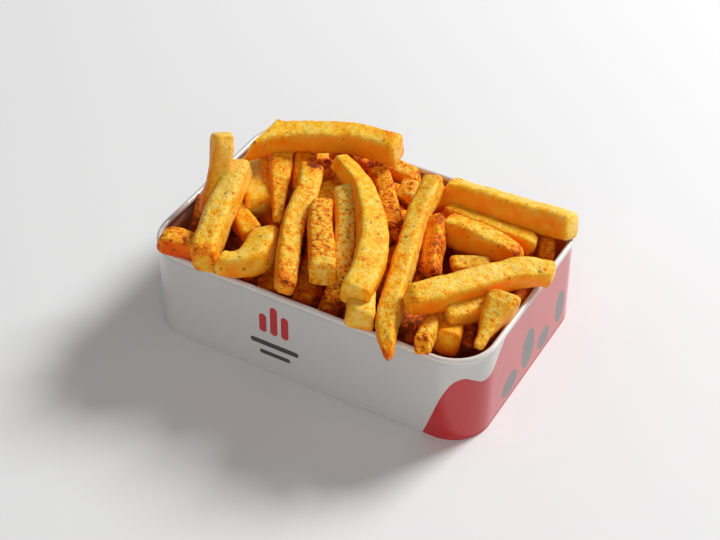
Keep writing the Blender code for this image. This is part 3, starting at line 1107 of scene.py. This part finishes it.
def end_rings(roundness):
    """Distances from a fry's end, sizes and end-face shares of its last rings."""
    softness = (roundness - END_ROUNDNESS[0]) / (END_ROUNDNESS[1] - END_ROUNDNESS[0])
    face = SHARP_FACE + (SOFT_FACE - SHARP_FACE) * min(max(softness, 0.0), 1.0)
    rounding = np.array(ROUND_RINGS)
    inner = np.array(FACE_RINGS)
    places = np.concatenate([np.zeros(len(inner)), rounding * roundness * MM])
    sizes = np.concatenate([inner * face, face + (1 - face) * np.sqrt(1 - (1 - rounding) ** 2)])
    shares = np.concatenate([1 - inner**2, np.zeros(len(rounding))])
    return places, sizes, shares


def directions(line, path, places, turn):
    """Unit vectors along a fry, across it and out of its upper side, at places along it."""
    along = unit(between(places, path, np.gradient(line, path, axis=0)))
    level = unit(np.stack([along[:, 1], -along[:, 0], np.zeros(len(along))], axis=1))
    rise = np.cross(level, along)
    across = level * np.cos(turn)[:, None] + rise * np.sin(turn)[:, None]
    upward = rise * np.cos(turn)[:, None] - level * np.sin(turn)[:, None]
    return along, across, upward


def uneven_sections(places, angles, half, sizes, dice, seed):
    """Each ring's points across and up: a rounded square, wider or higher, with dents."""
    aspect = dice.uniform(*ASPECT)
    power = dice.uniform(*SQUARENESS)
    reach = (np.abs(np.cos(angles)) ** power + np.abs(np.sin(angles)) ** power) ** (-1 / power)
    across, up = [1 + WIDTH_CHANGE * wander(places, seed + s, WIDTH_CHANGE_OVER) for s in (0, 0.5)]
    half_across = half * aspect * across * sizes
    half_up = half / aspect * up * sizes
    uneven = dents(places, angles, seed)
    x = half_across[:, None] * reach * np.cos(angles) * uneven
    y = half_up[:, None] * reach * np.sin(angles) * uneven
    return x, y


def dents(places, angles, seed):
    """Uneven width, as a factor for each point, from noise that closes round the fry."""
    rows = []
    for place in places / DENT_OVER:
        around = [Vector((place, math.cos(turn) + seed, math.sin(turn))) for turn in angles]
        rows.append([1 + DENT * noise.noise(point) for point in around])
    return np.array(rows)


def slants(x, y, places, length, half, cuts):
    """How far each point moves along the fry for the slanting cut of each end."""
    moves = []
    for slopes, distance, end_half, way in (
        (cuts[0], places, half[0], 1), (cuts[1], length - places, half[-1], -1),
    ):
        tilt = x * slopes[0] + y * slopes[1]
        pull = CUT_PULL * (abs(slopes[0]) + abs(slopes[1])) * end_half
        fade = np.clip(1 - distance / max(LEAST_CUT_FADE, CUT_FADE * pull), 0, 1)
        moves.append((tilt + pull) * fade[:, None] * way)
    return moves


def browning(places, length, faces, angles, brown, dice, spots, half):
    """How brown each point is: more at the ends and edges, less on some cut faces."""
    ends = [dice.uniform(*END_BROWNING) for _ in range(2)]
    pales = [dice.uniform(*FACE_PALENESS) for _ in range(2)]
    at_start = np.exp(-places / END_BROWNING_OVER) * ends[0]
    at_end = np.exp(-(length - places) / END_BROWNING_OVER) * ends[1]
    side = dice.uniform(0, 2 * math.pi)
    edge = np.abs(np.sin(2 * angles)) ** 6
    value = brown + (at_start + at_end)[:, None] + EDGE_BROWNING * edge
    value = value + SIDE_BROWNING * np.cos(angles - side)
    value = value + (faces * np.where(places < length / 2, *pales))[:, None]
    for spot in spots:
        turn = np.angle(np.exp(1j * (angles - math.radians(spot.angle))))
        away = np.hypot((places - spot.share * length)[:, None], half[:, None] * turn)
        value = value + spot.brown * np.exp(-((away / (spot.radius * MM)) ** 2))
    return value


def ring_stations(length, roundness, ring_step):
    """Where along a fry its rings are, the size of each, and how much of an end face it is."""
    (near, near_size, near_face), (far, far_size, far_face) = [end_rings(mm) for mm in roundness]
    inner = length - near[-1] - far[-1]
    count = max(LEAST_BODY_RINGS, round(inner / ring_step))
    body = near[-1] + inner * np.arange(1, count) / count
    places = np.concatenate([near, body, length - far[::-1]])
    sizes = np.concatenate([near_size, np.ones(len(body)), far_size[::-1]])
    faces = np.concatenate([near_face, np.zeros(len(body)), far_face[::-1]])
    return places, sizes, faces


class FrySkin:
    """Points, faces and browning of many fries on their way into one mesh."""

    def __init__(self, look, kind):
        self.look = look
        self.kind = kind
        self.ring_step = look.ring_step * kind.step_factor
        self.points = []
        self.faces = []
        self.brown = []
        self.crust = []
        self.ends = []
        self.seeds = []
        self.count = 0

    def add_fry(self, line, width, roll, brown, crust, seed, cuts=None, roundness=None, spots=()):
        """One fry along a line, with its own unevenness from its seed."""
        dice = random.Random(seed)
        path = travelled(line)
        length = path[-1]
        if roundness is None:
            roundness = [dice.uniform(*END_ROUNDNESS) for _ in range(2)]
        places, sizes, faces = ring_stations(length, roundness, self.ring_step)
        angles = 2 * math.pi * np.arange(self.kind.ring_points) / self.kind.ring_points
        marks = np.linspace(0, length, len(width))
        half = np.interp(places, marks, width) * MM * self.kind.fullness / 2
        x, y = uneven_sections(places, angles, half, sizes, dice, seed)
        twist = math.radians(dice.uniform(-MOST_TWIST, MOST_TWIST))
        if cuts is None:
            cuts = [[dice.uniform(-MOST_CUT_SLOPE, MOST_CUT_SLOPE) for _ in range(2)] for _ in range(2)]
        along, across, upward = directions(line, path, places, roll + twist * (places / length - 0.5))
        sway = wander(places, seed + 0.25, SWAY_OVER) * SWAY
        dome = CAP_DOME * faces * np.where(places < length / 2, -1, 1)
        points = between(places, path, line)[:, None, :] + across[:, None, :] * (x + sway[:, None])[..., None]
        points += upward[:, None, :] * y[..., None]
        points += (along * dome[:, None])[:, None, :]
        for slant in slants(x, y, places, length, half, cuts):
            points += along[:, None, :] * slant[..., None]
        self.store_rings(points, browning(places, length, faces, angles, brown, dice, spots, half))
        near_end = np.exp(-((np.minimum(places, length - places) / END_REACH) ** 2))
        self.ends += list(np.repeat(near_end, self.kind.ring_points)) + [1.0, 1.0]
        self.crust += [crust] * (points[..., 0].size + 2)
        self.seeds += [seed] * (points[..., 0].size + 2)

    def store_rings(self, rings, brown):
        """Keeps a fry's rings and their browning, with a centre point for each end face."""
        ring_count, size, _ = rings.shape
        first = self.count
        self.points.append(rings.reshape(-1, 3))
        self.points.append(rings[[0, -1]].mean(axis=1))
        self.brown += list(brown.reshape(-1)) + [brown[0].mean(), brown[-1].mean()]
        ring = first + np.arange(ring_count - 1)[:, None] * size
        here = np.arange(size)[None, :]
        after = (here + 1) % size
        quads = np.stack([ring + here, ring + size + here, ring + size + after, ring + after], axis=-1)
        self.faces += quads.reshape(-1, 4).tolist()
        start = first + ring_count * size
        last = first + (ring_count - 1) * size
        for i in range(size):
            j = (i + 1) % size
            self.faces.append((start, first + i, first + j))
            self.faces.append((start + 1, last + j, last + i))
        self.count += ring_count * size + 2

    def build(self, name, material_name):
        """The mesh, with lumps and blisters pushed out of its faces and kept clear of the carton."""
        points = np.concatenate(self.points)
        obj = mesh_object(name, points, self.faces, (fry_material(self.look, material_name),))
        normals = np.zeros(len(points) * 3)
        obj.data.vertex_normals.foreach_get("vector", normals)
        normals = normals.reshape(-1, 3)
        crust = np.array(self.crust)
        shifted = points + np.array(self.seeds, dtype=float)[:, None] * SEED_SHIFT
        lumps = noise_at(shifted, LUMP_SIZE)
        blisters = np.clip(noise_at(shifted, BLISTER_SIZE), 0, 1)
        rough = np.abs(noise_at(shifted, CRUST_SIZE))
        relief = lumps + BLISTER_RISE * blisters - LUMP_LEVEL + CRUST_RISE * crust * (rough - CRUST_LEVEL)
        points = clear_of_carton(points + normals * (self.look.lumps * relief)[:, None])
        obj.data.vertices.foreach_set("co", points.reshape(-1))
        # Painted shade: faces turned from the light get a side value, which gives them the deeper orange and
        # less mottling
        side = np.clip((SHADE_FROM - normals @ unit(np.array(LIT_DIRECTION))) / SHADE_FROM, 0, 1)
        side *= 1 - END_CRUST * np.array(self.ends)
        # Painted shade: fries deep in the heap are darkened and given the shaded side's orange
        deep = np.clip((DEEP_BELOW - points[:, 2]) / DEEP_OVER, 0, 1)
        side = np.maximum(side, deep * DEEP_SHADED_SIDE)
        brown = np.array(self.brown) + LUMP_BROWNING * (lumps - blisters) + deep * DEEP_SHADE
        paint(obj, {"brown": brown, "crust": crust, "side": side})
        obj.data.update()
        return obj


def paint(obj, values):
    """Stores a number at each point of the mesh under each name, for the material to read."""
    for name, numbers in values.items():
        attribute = obj.data.attributes.new(name, "FLOAT", "POINT")
        attribute.data.foreach_set("value", numbers)


def noise_at(points, size):
    """Smooth noise from about -1 to 1 at each point, in lumps of the given size."""
    return np.array([noise.noise(Vector(point)) for point in points / size])


def inset_of(points):
    """How far each point stands in from the rim's outline, and the outward direction there."""
    half = np.array([CARTON_LENGTH / 2 - RIM_CORNER_RADIUS, CARTON_WIDTH / 2 - RIM_CORNER_RADIUS])
    q = np.abs(points[:, :2]) - half
    beyond = np.maximum(q, 0)
    reach = np.linalg.norm(beyond, axis=1)
    inside = np.minimum(q.max(axis=1), 0)
    inset = RIM_CORNER_RADIUS - reach - inside
    nearest = np.where(q[:, :1] > q[:, 1:], [[1.0, 0.0]], [[0.0, 1.0]])
    direction = beyond / np.maximum(reach, LEAST_REACH)[:, None]
    outward = np.where(reach[:, None] > LEAST_REACH, direction, nearest)
    return inset, outward * np.sign(points[:, :2])


def clear_of_carton(points):
    """Moves points that reach into the carton's wall or rolled rim just clear of it."""
    inset, outward = inset_of(points)
    below_rim = points[:, 2] < CARTON_HEIGHT - RIM_RADIUS
    room = RIM_OVERHANG + BOARD + WALL_CLEARANCE
    board_middle = RIM_OVERHANG + BOARD / 2
    in_wall = below_rim & (inset > board_middle) & (inset < room)
    outside = below_rim & (inset <= board_middle) & (inset > RIM_OVERHANG - WALL_CLEARANCE)
    move = np.where(in_wall, inset - room, 0) + np.where(outside, inset - RIM_OVERHANG + WALL_CLEARANCE, 0)
    points[:, :2] += outward * move[:, None]
    inset, outward = inset_of(points)
    from_bead = np.stack([RIM_RADIUS - inset, points[:, 2] - CARTON_HEIGHT + RIM_RADIUS], axis=1)
    distance = np.linalg.norm(from_bead, axis=1)
    short = np.clip(RIM_RADIUS + RIM_CLEARANCE - distance, 0, None)
    direction = from_bead / np.maximum(distance, LEAST_REACH)[:, None]
    points[:, :2] += outward * (direction[:, 0] * short)[:, None]
    points[:, 2] += direction[:, 1] * short
    return points


def make_shown_fries(look):
    """The fries that show, where the view shows them."""
    dice = random.Random(SHOWN.draws)
    skin = FrySkin(look, SHOWN)
    for seed, (name, fry) in enumerate(FRIES.items(), SHOWN.first_seed):
        drawn = dice.uniform(-MOST_ROLL, MOST_ROLL)
        roll = math.radians(ROLLS.get(name, drawn))
        spots = [spot for spot in SPOTS if spot.fry == name]
        skin.add_fry(
            seen_line(fry), fry.width, roll, fry.brown, fry.crust, seed, CUTS.get(name),
            ENDS.get(name), spots,
        )
    return skin.build("fries_shown", "fried potato")


def make_laid_fries(look):
    """The fries that lie under those, level and straight."""
    dice = random.Random(LAID.draws)
    skin = FrySkin(look, LAID)
    for seed, laid in enumerate(LAID_FRIES, LAID.first_seed):
        width = dice.uniform(*LAID_WIDTH)
        roll = math.radians(dice.uniform(-MOST_ROLL, MOST_ROLL))
        skin.add_fry(laid_line(laid), (width, width), roll, LAID_BROWN, LAID_CRUST, seed)
    return skin.build("fries_beneath", "fried potato beneath")


def make_bedded_fries(look):
    """Fries bedded in the top of the core at all headings, so that it doesn't show bare."""
    dice = random.Random(BEDDED.draws)
    skin = FrySkin(look, BEDDED)
    while len(skin.points) < 2 * BEDDED_FRIES:
        length = dice.uniform(*BEDDED_LENGTH)
        middle = [dice.uniform(*extent) for extent in (BEDDED_X, BEDDED_Y, BEDDED_HEIGHT)]
        line = laid_line(Laid(*middle, dice.uniform(0, 180), length))
        width = dice.uniform(*BEDDED_WIDTH)
        if inset_of(line)[0].min() < BEDDED_ROOM:
            continue
        roll = math.radians(dice.uniform(-MOST_ROLL, MOST_ROLL))
        brown = dice.uniform(*BEDDED_BROWN)
        seed = BEDDED.first_seed + len(skin.points)
        skin.add_fry(line, (width, width), roll, brown, BEDDED_CRUST, seed)
    return skin.build("fries_bedded", "fried potato bedded")


def core_section():
    """Up the walls, then sloping in to the top."""
    at_wall = RIM_OVERHANG + BOARD + CORE_GAP
    section = [(at_wall + CORE_LOW_INSET, BOARD + CORE_GAP)]
    section += [(at_wall, height * MM) for height in CORE_WALL_ROWS_MM]
    for step in range(1, CORE_SLOPE_ROWS + 1):
        share = step / CORE_SLOPE_ROWS
        inset = at_wall + (CORE_TOP_INSET - at_wall) * share
        section.append((inset, CORE_SHOULDER + (CORE_TOP - CORE_SHOULDER) * share))
    return section


def make_core(look):
    """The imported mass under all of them: steep at the walls, then sloping in to a lumpy top."""
    rings = section_rings(core_section(), [AROUND * i / CORE_COLUMNS for i in range(CORE_COLUMNS)])
    edge = rings[-1]
    rings += [[Vector((p.x * share, p.y * share, p.z)) for p in edge] for share in CORE_TOP_RINGS]
    faces = joined_rings(rings) + [last_ring_face(rings), tuple(reversed(range(CORE_COLUMNS)))]
    points = np.array([tuple(point) for point in all_points(rings)])
    lumps = sum(np.abs(noise_at(points, size)) * height for size, height in CORE_LUMPS)
    middle = np.array([0.0, 0.0, CORE_SHOULDER / 2])
    inward = unit(middle - points)
    points = points + inward * (lumps + CORE_SHRINK)[:, None]
    points[:, 2] = np.maximum(points[:, 2], BOARD + CORE_GAP)
    obj = mesh_object("fries_core", points, faces, (fry_material(look, "fried potato packed"),))
    # Painted shade: the core takes the dark look of the gaps
    paint(obj, {name: np.full(len(points), value) for name, value in CORE_SHADED_LOOK.items()})
    weld(obj)
    return obj


def settle_piece(obj, node):
    """Puts a finished piece on the body it rides on, and hides the imported node that it stands for."""
    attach(obj, BODY)
    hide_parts(node)


def aim(obj, place, target):
    """Puts a light at a place and points it at a target."""
    obj.location = place
    obj.rotation_mode = "QUATERNION"
    obj.rotation_quaternion = (Vector(target) - Vector(place)).to_track_quat("-Z", "Y")


def make_floor(look):
    """A wide floor with a faintly uneven tint."""
    half = FLOOR_SIDE / 2
    corners = [(x * half, y * half, 0.0) for x, y in ((-1, -1), (1, -1), (1, 1), (-1, 1))]
    shader = Shader("studio floor")
    colour = tuple(look.floor_colour)
    tint = shader.noise(0.2, detail=2.0)
    shader.finish(
        Base_Color=shader.mix(tint, colour, tuple(channel * 0.985 for channel in colour)),
        Roughness=0.7,
    )
    floor = mesh_object("studio_floor", corners, [(0, 1, 2, 3)], (shader.material,))


def make_light(name, place, size, power, colour):
    """A round, soft light that points at the carton."""
    light = bpy.data.lights.new(name, "AREA")
    light.shape = "DISK"
    light.size = size
    light.energy = power
    light.color = colour
    obj = bpy.data.objects.new(name, light)
    bpy.context.scene.collection.objects.link(obj)
    aim(obj, place, LIGHT_TARGET)


def make_room_light(look):
    """Dim, warm light from all round."""
    world = bpy.data.worlds.new("studio")
    world.use_nodes = True
    background = world.node_tree.nodes["Background"]
    background.inputs["Color"].default_value = (*ROOM_COLOUR, 1.0)
    background.inputs["Strength"].default_value = look.room_strength
    bpy.context.scene.world = world
    bpy.context.scene.view_settings.view_transform = "Standard"


def make_camera():
    """The camera that fits the photo's view of the carton."""
    right, up, back = view_axes()
    camera = bpy.data.cameras.new("camera")
    camera.sensor_fit = "HORIZONTAL"
    camera.sensor_width = 36.0
    camera.lens = FOCAL_PIXELS / (2 * PICTURE_CENTRE[0]) * camera.sensor_width
    camera.clip_start = 0.01
    obj = bpy.data.objects.new("camera", camera)
    bpy.context.scene.collection.objects.link(obj)
    axes = Matrix((right, up, back)).transposed()
    obj.matrix_world = Matrix.Translation(view_eye()) @ axes.to_4x4()
    bpy.context.scene.camera = obj


class FRIES_OT_carton(bpy.types.Operator):
    """Make the printed paper carton"""

    bl_idname = "fries.carton"
    bl_label = "Carton"

    def execute(self, context):
        settle_piece(make_carton(context.scene.carton_look), "carton")
        return {"FINISHED"}


class FRIES_OT_shown(bpy.types.Operator):
    """Make the fries that show"""

    bl_idname = "fries.shown"
    bl_label = "Fries that show"

    def execute(self, context):
        settle_piece(make_shown_fries(context.scene.fries_look), "fries")
        return {"FINISHED"}


class FRIES_OT_beneath(bpy.types.Operator):
    """Make the fries that lie under the shown ones"""

    bl_idname = "fries.beneath"
    bl_label = "Fries beneath"

    def execute(self, context):
        settle_piece(make_laid_fries(context.scene.fries_look), "fries")
        settle_piece(make_bedded_fries(context.scene.fries_look), "fries")
        return {"FINISHED"}


class FRIES_OT_core(bpy.types.Operator):
    """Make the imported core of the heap"""

    bl_idname = "fries.core"
    bl_label = "Core"

    def execute(self, context):
        settle_piece(make_core(context.scene.fries_look), "fries")
        return {"FINISHED"}


class FRIES_OT_stage(bpy.types.Operator):
    """Make the floor, the lights and the camera"""

    bl_idname = "fries.stage"
    bl_label = "Stage"

    def execute(self, context):
        look = context.scene.stage_look
        make_floor(look)
        make_light("key light", KEY_PLACE, KEY_SIZE, look.key_power, KEY_COLOUR)
        make_light("fill light", FILL_PLACE, FILL_SIZE, look.fill_power, FILL_COLOUR)
        make_room_light(look)
        make_camera()
        return {"FINISHED"}


class VIEW3D_PT_fries(bpy.types.Panel):
    """Buttons that make the pieces, and their sizes and colours"""

    bl_label = "Fries in a carton"
    bl_space_type = "VIEW_3D"
    bl_region_type = "UI"
    bl_category = "Fries"

    def draw(self, context):
        for operator in OPERATORS:
            self.layout.operator(operator.bl_idname)
        for group in LOOKS:
            settings = getattr(context.scene, group)
            for key in settings.__annotations__:
                self.layout.prop(settings, key)


LOOKS = {"carton_look": CartonLook, "fries_look": FriesLook, "stage_look": StageLook}
OPERATORS = (FRIES_OT_carton, FRIES_OT_shown, FRIES_OT_beneath, FRIES_OT_core, FRIES_OT_stage)


def register():
    for group, kind in LOOKS.items():
        bpy.utils.register_class(kind)
        setattr(bpy.types.Scene, group, PointerProperty(type=kind))
    for operator in OPERATORS:
        bpy.utils.register_class(operator)
    bpy.utils.register_class(VIEW3D_PT_fries)


def unregister():
    bpy.utils.unregister_class(VIEW3D_PT_fries)
    for operator in reversed(OPERATORS):
        bpy.utils.unregister_class(operator)
    for group, kind in LOOKS.items():
        delattr(bpy.types.Scene, group)
        bpy.utils.unregister_class(kind)


def main():
    register()
    bpy.ops.fries.carton()
    bpy.ops.fries.shown()
    bpy.ops.fries.beneath()
    bpy.ops.fries.core()
    bpy.ops.fries.stage()


if __name__ == "__main__":
    main()
